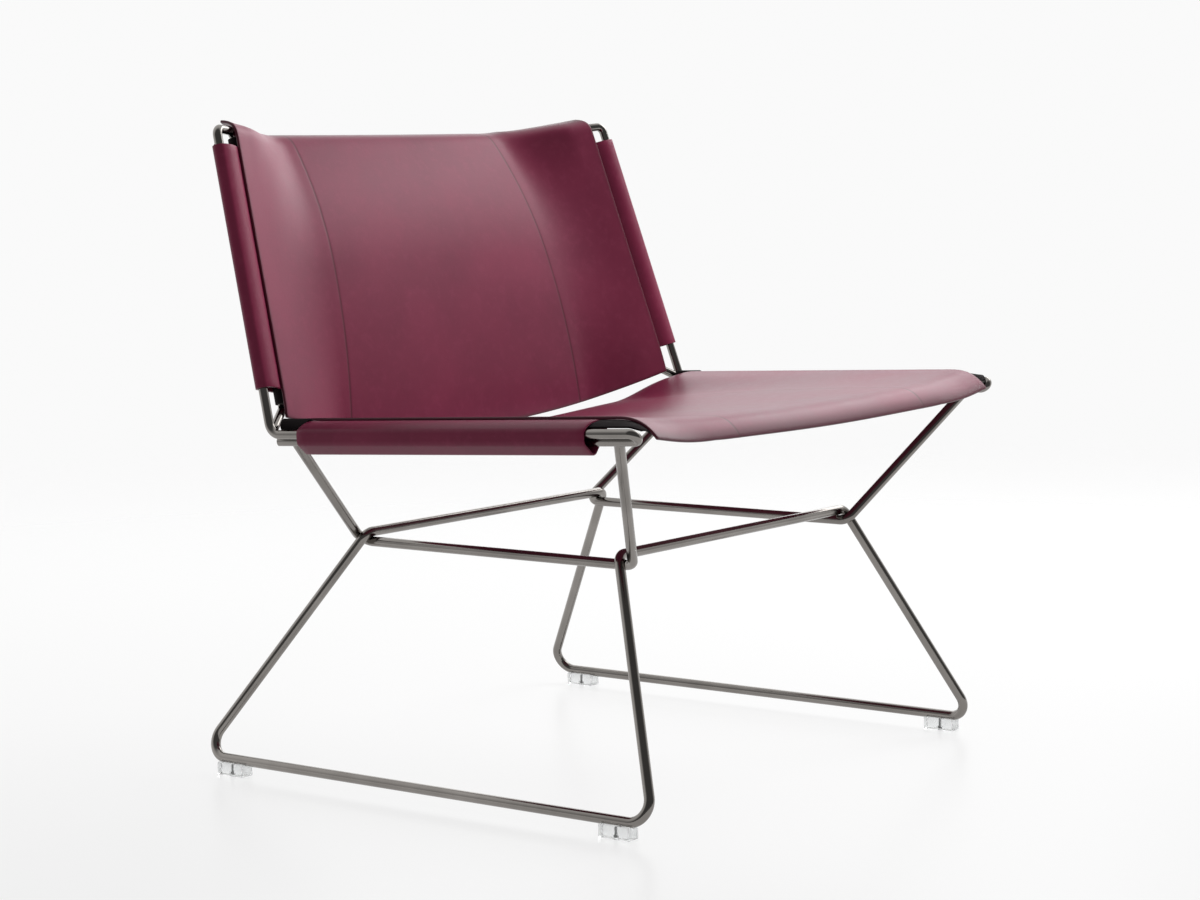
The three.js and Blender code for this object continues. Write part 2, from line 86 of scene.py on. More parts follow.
class Socket:
    """A shader output that takes part in arithmetic."""

    def __init__(self, paint: "Paint", output: bpy.types.NodeSocket) -> None:
        """Keeps the output and the node tree that it belongs to."""
        self.paint = paint
        self.output = output

    def _math(self, operation: str, first: "Socket | float", second: "Socket | float") -> "Socket":
        """Output of a new Math node."""
        return self.paint.node("ShaderNodeMath", {"operation": operation}, {0: first, 1: second})

    def __add__(self, other: "Socket | float") -> "Socket":
        """Sum."""
        return self._math("ADD", self, other)

    def __radd__(self, other: float) -> "Socket":
        """Sum with a number in front."""
        return self._math("ADD", other, self)

    def __sub__(self, other: "Socket | float") -> "Socket":
        """Difference."""
        return self._math("SUBTRACT", self, other)

    def __rsub__(self, other: float) -> "Socket":
        """Difference from a number."""
        return self._math("SUBTRACT", other, self)

    def __mul__(self, other: "Socket | float") -> "Socket":
        """Product."""
        return self._math("MULTIPLY", self, other)

    def __rmul__(self, other: float) -> "Socket":
        """Product with a number in front."""
        return self._math("MULTIPLY", other, self)

    def at_most(self, other: "Socket | float") -> "Socket":
        """The smaller of two values."""
        return self._math("MINIMUM", self, other)

    def at_least(self, other: "Socket | float") -> "Socket":
        """The larger of two values."""
        return self._math("MAXIMUM", self, other)


Inputs = dict[int | str, Socket | float | Sequence[float]]


class Paint:
    """The node tree of one material or of the world."""

    def __init__(self, owner: Material | bpy.types.World) -> None:
        """Empties the owner's node tree.

        Args:
            owner: Material or world to paint.
        """
        owner.use_nodes = True
        self.owner = owner
        self.tree = owner.node_tree
        self.tree.nodes.clear()

    def node(
        self,
        kind: str,
        settings: dict[str, object] | None = None,
        inputs: Inputs | None = None,
        output: int | str = 0,
    ) -> Socket:
        """Adds a node.

        Args:
            kind: Blender's name of the node type.
            settings: Properties of the node.
            inputs: Values or links by socket.
            output: Socket to return.

        Returns:
            The chosen output, or an empty one for a node without outputs.
        """
        made = self.tree.nodes.new(kind)
        for key, value in (settings or {}).items():
            setattr(made, key, value)
        for key, value in (inputs or {}).items():
            if isinstance(value, Socket):
                self.tree.links.new(value.output, made.inputs[key])
            elif isinstance(value, Sequence):
                room = len(made.inputs[key].default_value)
                made.inputs[key].default_value = [*value, 1.0][:room]
            else:
                made.inputs[key].default_value = value
        return Socket(self, made.outputs[output] if len(made.outputs) else None)

    def place(self) -> Socket:
        """Object coordinates in metres."""
        return self.node("ShaderNodeTexCoord", output="Object")

    def noise(self, scale: float, detail: float = 3.0, roughness: float = 0.5) -> Socket:
        """Cloudy pattern about 0.5, whose scale is in features per metre."""
        values = {"Vector": self.place(), "Scale": scale, "Detail": detail, "Roughness": roughness}
        return self.node("ShaderNodeTexNoise", inputs=values)

    def cells(self, scale: float) -> Socket:
        """Distance from the middles of scattered cells, whose scale is in cells per metre."""
        return self.node("ShaderNodeTexVoronoi", inputs={"Vector": self.place(), "Scale": scale})

    def mark(self, name: str) -> Socket:
        """Value that a mesh carries on its points under a name."""
        return self.node("ShaderNodeAttribute", {"attribute_name": name}, output="Fac")

    def ray(self, kind: str) -> Socket:
        """1 on rays of a kind, such as Camera or Glossy, and 0 on others."""
        return self.node("ShaderNodeLightPath", output=f"Is {kind} Ray")

    def ease(self, value: Socket, start: float, stop: float) -> Socket:
        """Smooth rise from 0 at a start to 1 at a stop."""
        inputs = {"Value": value, "From Min": start, "From Max": stop}
        return self.node("ShaderNodeMapRange", {"interpolation_type": "SMOOTHSTEP"}, inputs)

    def mix(self, factor: Socket | float, first: Socket | Triple, second: Socket | Triple) -> Socket:
        """Blend of two colours, from the first at 0 to the second at 1."""
        return self.node("ShaderNodeMix", {"data_type": "RGBA"}, {0: factor, 6: first, 7: second}, 2)

    def bump(self, height: Socket, depth: float, strength: float) -> Socket:
        """Normal of a relief, from its heights of 0 to 1 and its depth in metres."""
        values = {"Height": height, "Distance": depth, "Strength": strength}
        return self.node("ShaderNodeBump", inputs=values)

    def close(self, shader: Socket) -> Material | bpy.types.World:
        """Links a shader to the output.

        Args:
            shader: The shader.

        Returns:
            The painted owner.
        """
        world = isinstance(self.owner, bpy.types.World)
        self.node("ShaderNodeOutputWorld" if world else "ShaderNodeOutputMaterial", inputs={0: shader})
        return self.owner


class Finish:
    """What all finishes share: a name, and a surface for a Principled shader."""

    name: str

    def surface(self, paint: Paint) -> Inputs:
        """Values or links of the shader's sockets, which each finish gives."""
        raise NotImplementedError

    def material(self) -> Material:
        """Paints the finish on a new material."""
        paint = Paint(bpy.data.materials.new(self.name))
        return paint.close(paint.node("ShaderNodeBsdfPrincipled", inputs=self.surface(paint)))


@dataclass(frozen=True)
class LeatherFace(Finish):
    """Smooth grain side of saddle leather."""

    name: str = "burgundy_grain"
    deep: Triple = (0.160, 0.013, 0.044)
    main: Triple = (0.230, 0.022, 0.064)
    bloom: Triple = (0.280, 0.038, 0.090)
    burnish: Triple = (0.050, 0.007, 0.014)
    sheen: float = 0.38

    def surface(self, paint: Paint) -> Inputs:
        """Clouded and flecked grain, burnished along its edges, with painted shade along the seam
        grooves.

        Args:
            paint: Node tree of the material.

        Returns:
            Values or links of the shader's sockets.
        """
        clouds = paint.noise(scale=7.0, detail=4.0)
        flecks = paint.noise(scale=95.0, detail=5.0, roughness=0.62)
        grain = paint.cells(scale=820.0)
        pores = paint.noise(scale=1500.0, detail=2.0)
        edge = paint.mark("edge")
        seam = paint.mark("seam")
        tone = paint.mix((clouds - 0.32) * 2.6, self.deep, self.main)
        tone = paint.mix(((flecks - 0.5) * 1.3).at_least(0.0), tone, self.bloom)
        tone = paint.mix((grain * 0.30).at_most(0.22), tone, self.deep)
        tone = paint.mix(edge * 0.75, tone, self.burnish)
        # Painted shade: the seam groove is darkened with the burnish colour, standing in for the shade
        # in its crease.
        tone = paint.mix(seam * 0.70, tone, self.burnish)
        relief = grain * 0.55 + pores * 0.45
        return {
            "Base Color": tone,
            "Roughness": 0.28 + clouds * 0.08 + flecks * 0.10 + grain * 0.05,
            "Normal": paint.bump(relief, depth=0.0003, strength=0.18),
            "Specular IOR Level": self.sheen,
        }


@dataclass(frozen=True)
class LeatherReverse(Finish):
    """Dark dyed flesh side of the leather, which the linings show."""

    name: str = "dyed_flesh_side"
    low: Triple = (0.006, 0.004, 0.005)
    high: Triple = (0.018, 0.013, 0.014)

    def surface(self, paint: Paint) -> Inputs:
        """Short dark nap.

        Args:
            paint: Node tree of the material.

        Returns:
            Values or links of the shader's sockets.
        """
        nap = paint.noise(scale=700.0, detail=4.0, roughness=0.7)
        clouds = paint.noise(scale=22.0)
        return {
            "Base Color": paint.mix(nap * 0.6 + clouds * 0.4, self.low, self.high),
            "Roughness": 0.78 + nap * 0.16,
            "Specular IOR Level": 0.2,
            "Normal": paint.bump(nap, depth=0.0005, strength=0.5),
        }


@dataclass(frozen=True)
class SmokedChrome(Finish):
    """Polished dark chrome plating."""

    name: str = "smoked_chrome_plating"
    dark: Triple = (0.222, 0.207, 0.193)
    light: Triple = (0.312, 0.293, 0.275)

    def surface(self, paint: Paint) -> Inputs:
        """Wiped and slightly clouded plating.

        Args:
            paint: Node tree of the material.

        Returns:
            Values or links of the shader's sockets.
        """
        clouds = paint.noise(scale=14.0)
        wipe = paint.noise(scale=160.0, detail=5.0, roughness=0.6)
        return {
            "Base Color": paint.mix((clouds - 0.3) * 2.2, self.dark, self.light),
            "Metallic": 1.0,
            "Roughness": 0.09 + wipe * 0.07 + clouds * 0.05,
            "Normal": paint.bump(wipe, depth=0.0001, strength=0.06),
        }


@dataclass(frozen=True)
class ClearPlastic(Finish):
    """Cast clear plastic with a handled surface."""

    name: str = "clear_cast_plastic"
    tint: Triple = (0.93, 0.94, 0.94)
    haze: Triple = (0.80, 0.82, 0.82)

    def surface(self, paint: Paint) -> Inputs:
        """Clear body with faint scuffs."""
        scuffs = paint.noise(scale=260.0, detail=5.0, roughness=0.6)
        return {
            "Base Color": paint.mix((scuffs - 0.35) * 1.8, self.tint, self.haze),
            "Roughness": 0.14 + scuffs * 0.14,
            "Transmission Weight": 0.9,
            "IOR": 1.49,
            "Normal": paint.bump(scuffs, depth=0.0002, strength=0.08),
        }


@dataclass(frozen=True)
class DarkSteel(Finish):
    """Blackened screw steel."""

    name: str = "blackened_steel"
    low: Triple = (0.060, 0.058, 0.058)
    high: Triple = (0.180, 0.176, 0.174)

    def surface(self, paint: Paint) -> Inputs:
        """Stained dark metal."""
        stain = paint.noise(scale=480.0, detail=4.0, roughness=0.6)
        return {
            "Base Color": paint.mix(stain, self.low, self.high),
            "Metallic": 1.0,
            "Roughness": 0.30 + stain * 0.18,
            "Normal": paint.bump(stain, depth=0.0001, strength=0.15),
        }


def spread(start: float, stop: float, steps: int) -> list[float]:
    """Values at equal steps from a start to a stop, with both."""
    return [start + (stop - start) * i / steps for i in range(steps + 1)]


def path_length(points: Sequence[Vector]) -> float:
    """Length of the straight runs through points."""
    return sum((b - a).length for a, b in zip(points, points[1:]))


class Bench:
    """Steps of modelling that all pieces share."""

    @staticmethod
    def take(*pieces: Piece) -> None:
        """Leaves edit mode and selects some pieces and nothing else.

        Args:
            *pieces: The pieces, if any; the first becomes the active one.
        """
        if bpy.context.mode != "OBJECT":
            bpy.ops.object.mode_set(mode="OBJECT")
        bpy.ops.object.select_all(action="DESELECT")
        for piece in pieces:
            piece.select_set(True)
        if pieces:
            bpy.context.view_layer.objects.active = pieces[0]

    @staticmethod
    def named(name: str) -> Piece:
        """Names the active piece and its mesh.

        Args:
            name: The name.

        Returns:
            The piece.
        """
        piece = bpy.context.object
        piece.name = name
        piece.data.name = name
        return piece

    @staticmethod
    def add(operator: Callable[..., set[str]], name: str, **settings: object) -> Piece:
        """Adds a primitive and puts its place in its mesh.

        Args:
            operator: Blender's operator that adds it.
            name: The piece's name.
            **settings: Arguments of the operator.

        Returns:
            The piece.
        """
        Bench.take()
        operator(**settings)
        bpy.ops.object.transform_apply(location=True, rotation=True, scale=True)
        return Bench.named(name)

    @staticmethod
    def sheet(name: str, columns: int, rows: int, lay: Callable[[int, int], Marked]) -> Piece:
        """Adds a grid and lays each of its points in its place.

        Args:
            name: The piece's name.
            columns: Steps across.
            rows: Steps along.
            lay: Place in millimetres, edge mark and seam mark of a point by its column and row.

        Returns:
            The piece.
        """
        grid = bpy.ops.mesh.primitive_grid_add
        piece = Bench.add(grid, name, x_subdivisions=columns, y_subdivisions=rows, size=2)
        marks = [piece.data.attributes.new(mark, "FLOAT", "POINT") for mark in ("edge", "seam")]
        for vertex in piece.data.vertices:
            column = round((vertex.co.x + 1) / 2 * columns)
            row = round((vertex.co.y + 1) / 2 * rows)
            point, *values = lay(column, row)
            vertex.co = point * MM
            for mark, value in zip(marks, values):
                mark.data[vertex.index].value = value
        return piece

    @staticmethod
    def edit_faces(piece: Piece, chosen: Callable[[Vector], bool]) -> None:
        """Opens a piece in edit mode with some of its faces selected.

        Args:
            piece: The piece.
            chosen: Test of the middle of a face.
        """
        Bench.take(piece)
        bpy.ops.object.mode_set(mode="EDIT")
        bpy.ops.mesh.select_mode(type="FACE")
        bpy.ops.mesh.select_all(action="DESELECT")
        bpy.ops.object.mode_set(mode="OBJECT")
        for polygon in piece.data.polygons:
            polygon.select = chosen(polygon.center)
        bpy.ops.object.mode_set(mode="EDIT")

    @staticmethod
    def extrude(run: Vector) -> None:
        """Extrudes the selected faces by a straight run in millimetres."""
        bpy.ops.mesh.extrude_region_move(TRANSFORM_OT_translate={"value": run * MM})

    @staticmethod
    def modify(piece: Piece, kind: str, **settings: object) -> None:
        """Adds a modifier and applies it.

        Args:
            piece: The piece.
            kind: Blender's name of the modifier type.
            **settings: Its properties.
        """
        Bench.take(piece)
        modifier = piece.modifiers.new(kind.lower(), kind)
        for key, value in settings.items():
            setattr(modifier, key, value)
        bpy.ops.object.modifier_apply(modifier=modifier.name)

    @staticmethod
    def bevel(piece: Piece, width: float, segments: int, degrees: float) -> None:
        """Rounds edges sharper than an angle, by a width in millimetres."""
        limit = {"limit_method": "ANGLE", "angle_limit": math.radians(degrees)}
        Bench.modify(piece, "BEVEL", width=width * MM, segments=segments, **limit)

    @staticmethod
    def close(piece: Piece) -> None:
        """Merges doubles and turns all faces outwards.

        Args:
            piece: The piece.
        """
        Bench.take(piece)
        bpy.ops.object.mode_set(mode="EDIT")
        bpy.ops.mesh.select_all(action="SELECT")
        bpy.ops.mesh.remove_doubles(threshold=TOUCH)
        bpy.ops.mesh.normals_make_consistent(inside=False)
        bpy.ops.object.mode_set(mode="OBJECT")

    @staticmethod
    def smooth(piece: Piece, degrees: float) -> None:
        """Shades a piece smooth except at edges sharper than an angle."""
        Bench.take(piece)
        bpy.ops.object.shade_smooth_by_angle(angle=math.radians(degrees))

    @staticmethod
    def copy(piece: Piece, name: str) -> Piece:
        """Copies a piece with its own mesh.

        Args:
            piece: The piece.
            name: The copy's name.

        Returns:
            The copy.
        """
        Bench.take(piece)
        bpy.ops.object.duplicate(linked=False)
        return Bench.named(name)

    @staticmethod
    def mirror(piece: Piece, name: str) -> Piece:
        """Makes the twin of a piece on the chair's other side.

        Args:
            piece: The piece.
            name: The twin's name.

        Returns:
            The twin.
        """
        twin = Bench.copy(piece, name)
        twin.data.transform(Matrix.Scale(-1.0, 4, (1.0, 0.0, 0.0)))
        twin.data.flip_normals()
        return twin

    @staticmethod
    def cut(piece: Piece, tool: Piece) -> None:
        """Takes a closed tool's shape out of a piece and deletes the tool."""
        Bench.modify(piece, "BOOLEAN", object=tool, operation="DIFFERENCE", solver="EXACT")
        bpy.data.objects.remove(tool)

    @staticmethod
    def hand_over(piece: Piece, materials: Sequence[Material], slot: Slot, node: str) -> Piece:
        """Dresses a finished piece and puts it in place of a CAD node.

        Args:
            piece: The piece.
            materials: Its materials in the order of its faces' indices.
            slot: Finish in the record; not used.
            node: CAD node that it stands for.

        Returns:
            The piece.
        """
        for material in materials[len(piece.data.materials) :]:
            piece.data.materials.append(material)
        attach(piece, BODY)
        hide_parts(node)
        log.info("%s: %d faces", piece.name, len(piece.data.polygons))
        return piece


@dataclass
class Rod:
    """A round rod bent along straight runs. Millimetres; crease is degrees."""

    points: list[Vector]
    bends: list[float]
    diameter: float
    cope: float = 0.0
    sides: int = 32
    bend_steps: int = 14
    coped_share: float = 0.86
    crease: float = 50.0

    def build(self, name: str) -> Piece:
        """Extrudes and spins a disc along the rod.

        Args:
            name: The piece's name.

        Returns:
            The piece.
        """
        here = self.points[0]
        heading = (self.points[1] - here).normalized()
        piece = Bench.add(
            bpy.ops.mesh.primitive_circle_add,
            name,
            vertices=self.sides,
            radius=self.diameter / 2 * MM * (self.coped_share if self.cope else 1.0),
            fill_type="NGON",
            location=here * MM,
            rotation=heading.to_track_quat("Z", "Y").to_euler(),
        )
        bpy.ops.object.mode_set(mode="EDIT")
        bpy.ops.mesh.select_all(action="SELECT")
        if self.cope:
            here = here + heading * self.cope
            Bench.extrude(heading * self.cope)
            self._resize(1 / self.coped_share, here)
        corners = zip(self.points, self.points[1:], self.points[2:], self.bends)
        for before, corner, after, radius in corners:
            arriving = (corner - before).normalized()
            leaving = (after - corner).normalized()
            turn = arriving.angle(leaving)
            reach = radius * math.tan(turn / 2)
            inward = (leaving - arriving * arriving.dot(leaving)).normalized()
            start = corner - arriving * reach
            Bench.extrude(start - here)
            bpy.ops.mesh.spin(
                steps=self.bend_steps,
                angle=-turn,
                center=(start + inward * radius) * MM,
                axis=arriving.cross(leaving).normalized(),
            )
            here = corner + leaving * reach
        if self.cope:
            last = (self.points[-1] - here).normalized() * self.cope
            Bench.extrude(self.points[-1] - here - last)
            Bench.extrude(last)
            self._resize(self.coped_share, self.points[-1])
        else:
            Bench.extrude(self.points[-1] - here)
        Bench.close(piece)
        Bench.smooth(piece, self.crease)
        return piece

    @staticmethod
    def _resize(share: float, centre: Vector) -> None:
        """Resizes the selected end face about its middle."""
        bpy.ops.transform.resize(value=(share, share, share), center_override=centre * MM)


@dataclass(frozen=True)
class SlingShape:
    """How the leather of a sling is cut and how it hangs. Millimetres."""

    sleeve_start: float
    sleeve_end: float
    sleeve_slack: float
    meet_inset: float
    tail_end: float
    wing_margin: float
    edge_inset: float
    edge_lift: float
    wing_slope: float
    sag_start: float
    sag_end: float
    start_roll_length: float
    start_roll_drop: float
    end_roll_length: float
    end_roll_drop: float
    heel_length: float
    heel_drop: float
    heel_bow: float
    lip_inset: float
    lip_length: float
    lip_drop: float
    lip_flare: float
    lip_power: float
    lip_tuck: float = 0.0
    wing_round: float = 100.0


@dataclass(frozen=True)
class Sling:
    """The flat space between two outer rods, with the leather laid on it. Millimetres.

    Along runs from the seat corner to the closed end of the rods, and behind points away from the
    sitter. Inboard is the distance from the outer rod.
    """

    name: str
    length: float
    end_spread: float
    pitch: float
    drop: float
    along: Vector
    behind: Vector
    corner: Vector
    shape: SlingShape
    loop_rod: float = 10.0
    panel: float = 3.0
    ply: float = 2.5
    gap: float = 0.3

    @property
    def taper(self) -> float:
        """Angle between an outer rod and the chair's middle plane."""
        return math.atan2(self.corner.x - self.end_spread / 2, self.length)

    @property
    def lip_start(self) -> float:
        """Place along where the panel starts to curl."""
        return self.shape.sleeve_end + self.shape.lip_inset

    @property
    def end(self) -> float:
        """Place along of the panel's curled end."""
        return self.lip_start + self.shape.lip_length

    @property
    def steepness(self) -> float:
        """Length of a wing per unit inboard."""
        return math.hypot(1.0, self.shape.wing_slope)

    def rail_half(self, along: float) -> float:
        """Half the distance between the outer rods at a place along."""
        return self.corner.x - along * math.tan(self.taper)

    def point(self, x: float, behind: float, along: float) -> Vector:
        """Point of the chair in millimetres from its place on the sling."""
        return Vector((x, self.corner.y, self.corner.z)) + self.behind * behind + self.along * along

    def outer(self, along: float) -> Vector:
        """Point on the axis of the left outer rod at a place along."""
        return self.point(self.rail_half(along), 0.0, along)

    def inner(self, along: float) -> Vector:
        """Point on the axis of the left inner rod at a place along."""
        return self.point(self.rail_half(along) - self.pitch, self.drop, along)

    def beside(self, run: float, inboard: float) -> Place:
        """Distance from the middle plane, and place along, of a place beside an outer rod."""
        sine, cosine = math.sin(self.taper), math.cos(self.taper)
        return self.corner.x - run * sine - inboard * cosine, run * cosine - inboard * sine

    def inboard(self, x: float, along: float) -> float:
        """Distance of a place from the nearer outer rod."""
        return (self.rail_half(along) - abs(x)) * math.cos(self.taper)

    def face(self, inboard: float, layers: float) -> float:
        """Depth of the sleeve's layers behind a wing of the panel.

        Args:
            inboard: Distance from the outer rod.
            layers: Layers of the sleeve from the panel to the place.

        Returns:
            Depth behind the plane of the outer rods.
        """
        radius = self.loop_rod / 2 + self.gap + self.ply
        level = self.drop - radius * self.steepness - self.shape.edge_lift
        pitch = self.pitch * math.cos(self.taper)
        return level + self.shape.wing_slope * (inboard - pitch) + layers * self.ply * self.steepness

    def heel_at(self, across: float) -> float:
        """Length of the panel before the sleeves; across runs from -1 to 1."""
        return self.shape.heel_length + self.shape.heel_bow * (1 - across**2)

    def panel_half(self, along: float) -> float:
        """Half the width of the panel at a place along."""
        return self.rail_half(along) - self.shape.edge_inset / math.cos(self.taper)

    def depth(self, x: float, along: float) -> float:
        """Depth of the panel's middle layer behind the plane of the outer rods.

        Args:
            x: Distance from the chair's middle plane.
            along: Place along.

        Returns:
            The depth.
        """
        shape = self.shape
        half = self.rail_half(along) * math.cos(self.taper)
        inboard = self.inboard(x, along)
        wing_end = shape.tail_end + shape.wing_margin
        past = max(0.0, inboard - wing_end)
        levelling = min(1.0, past / shape.wing_round)
        middle = levelling**2 * (3 - 2 * levelling)
        wing = self.face(min(inboard, wing_end), 0.0) - (self.gap + self.panel / 2) * self.steepness
        wing += shape.wing_slope * shape.wing_round * (levelling - levelling**2 / 2)
        sag = shape.sag_start + (shape.sag_end - shape.sag_start) * along / self.end
        sag *= math.sin(math.pi / 2 * past / (half - wing_end)) ** 2
        roll_start = shape.sleeve_start - shape.heel_length + shape.start_roll_length
        start_roll = max(0.0, roll_start - along) / shape.start_roll_length
        end_roll = max(0.0, along - self.end + shape.end_roll_length) / shape.end_roll_length
        heel = max(0.0, shape.sleeve_start - along) / self.heel_at(x / self.panel_half(along))
        lip = max(0.0, along - self.lip_start) / shape.lip_length
        flare = min(1.0, max(0.0, inboard - shape.edge_inset) / shape.wing_round)
        rolls = shape.start_roll_drop * start_roll**2 + shape.end_roll_drop * end_roll**2
        curl = shape.lip_drop + shape.lip_flare * math.sin(math.pi * flare)
        heel_curl = (1 - middle) * shape.heel_drop * heel**2
        tuck = lip ** (shape.lip_power + shape.lip_tuck * middle)
        return wing + sag + middle * rolls + heel_curl + curl * tuck


@dataclass
class ChairFrame:
    """Rods of the frame: base loop, side links and hairpins. Millimetres."""

    shift: float
    rod: float = 11.0
    loop_rod: float = 10.0
    runner_length: float = 620.0
    runner_spread: float = 633.0
    runner_height: float = 17.5
    runner_bend: float = 20.0
    glide_inset: float = 43.0
    knot_spread: float = 432.0
    knot_height: float = 266.0
    front_cross_setback: float = 112.0
    rear_cross_setback: float = 163.5
    knot_bend: float = 14.0
    link_inset: float = 10.5
    link_drop: float = 11.3
    link_front_overhang: float = 10.5
    link_rear_overhang: float = 17.5
    link_bend: float = 14.0
    front_strut_inset: float = 24.0
    rear_strut_inset: float = 24.0
    corner_spread: float = 743.0
    corner_setback: float = 172.0
    corner_height: float = 388.0
    corner_bend: float = 16.0
    splice_inset: float = 120.0
    back_end_bend: float = 9.0
    foot_inset: float = 28.0
    foot_bend: float = 9.0
    foot_reach: float = 4.0
    seat_end_bend: float = 6.0
    seat_rod_inset: float = 2.0
    cope: float = 6.0

    @property
    def front_cross(self) -> float:
        """Place of the front cross rod."""
        return self.shift - self.runner_length / 2 + self.front_cross_setback

    @property
    def rear_cross(self) -> float:
        """Place of the rear cross rod."""
        return self.shift + self.runner_length / 2 - self.rear_cross_setback

    @property
    def corner(self) -> Vector:
        """Bend of the left outer rod at the seat corner."""
        y = self.shift + self.runner_length / 2 - self.corner_setback
        return Vector((self.corner_spread / 2, y, self.corner_height))

    def base_loop(self) -> Rod:
        """Left half of the base loop.

        Returns:
            Half a cross rod, a leg, the runner, a leg and half the other cross rod.
        """
        runner, knot = self.runner_spread / 2, self.knot_spread / 2
        front, rear = (self.shift + s * self.runner_length / 2 for s in (-1, 1))
        points = [
            Vector((0, self.front_cross, self.knot_height)),
            Vector((knot, self.front_cross, self.knot_height)),
            Vector((runner, front, self.runner_height)),
            Vector((runner, rear, self.runner_height)),
            Vector((knot, self.rear_cross, self.knot_height)),
            Vector((0, self.rear_cross, self.knot_height)),
        ]
        bends = [self.knot_bend, self.runner_bend, self.runner_bend, self.knot_bend]
        return Rod(points, bends, self.rod)

    def side_link(self, seat: Sling) -> Rod:
        """Left side link: a level bar with a strut at each end, run into the seat's inner rod.

        Args:
            seat: Sling of the seat.

        Returns:
            The rod.
        """
        x = self.knot_spread / 2 - self.link_inset
        z = self.knot_height - self.link_drop
        points = [
            seat.inner(self.rear_strut_inset),
            Vector((x, self.rear_cross + self.link_rear_overhang, z)),
            Vector((x, self.front_cross - self.link_front_overhang, z)),
            seat.inner(seat.length - self.front_strut_inset),
        ]
        return Rod(points, [self.link_bend, self.link_bend], self.rod, self.cope)

    def back_hairpin(self, back: Sling, seat: Sling) -> Rod:
        """Left hairpin of the back, whose inner rod turns out to the bend of the outer rod.

        Args:
            back: Sling of the back.
            seat: Sling of the seat.

        Returns:
            The rod.
        """
        foot = back.inner(self.foot_inset)
        half_turn = (math.pi - back.along.angle(seat.along)) / 2
        depth = self.corner_bend / math.cos(half_turn) - self.corner_bend
        weld = self.corner + (back.along + seat.along).normalized() * depth
        points = [
            seat.outer(self.splice_inset),
            self.corner,
            back.outer(back.length),
            back.inner(back.length),
            foot,
            weld + (foot - weld).normalized() * self.foot_reach,
        ]
        bends = [self.corner_bend, self.back_end_bend, self.back_end_bend, self.foot_bend]
        return Rod(points, bends, self.loop_rod)

    def seat_hairpin(self, seat: Sling) -> Rod:
        """Left hairpin of the seat, whose inner rod runs back under the outer rod."""
        points = [
            seat.outer(self.splice_inset),
            seat.outer(seat.length),
            seat.inner(seat.length),
            seat.inner(self.seat_rod_inset),
        ]
        return Rod(points, [self.seat_end_bend, self.seat_end_bend], self.loop_rod)

    def build(self, back: Sling, seat: Sling, chrome: Material) -> None:
        """Builds and dresses all rods.

        Args:
            back: Sling of the back.
            seat: Sling of the seat.
            chrome: Finish of the rods.
        """
        rods = {
            "base_loop": ("base_frame", self.base_loop()),
            "strut_link": ("side_link", self.side_link(seat)),
            "back_rod": ("back_hairpin", self.back_hairpin(back, seat)),
            "seat_rod": ("seat_hairpin", self.seat_hairpin(seat)),
        }
        for name, (node, rod) in rods.items():
            left = rod.build(f"{name}_left")
            right = Bench.mirror(left, f"{name}_right")
            for side, piece in zip(Side, (left, right)):
                Bench.hand_over(piece, [chrome], Slot.CHROME, f"{node}_{side.value}")


@dataclass(frozen=True)
class Lining:
    """A black tube that shows past a sleeve's end. Millimetres.

    It runs from start to stop along the sling, round an axis inboard of the outer rod and behind it.
    """

    start: float
    stop: float
    inboard: float
    behind: float


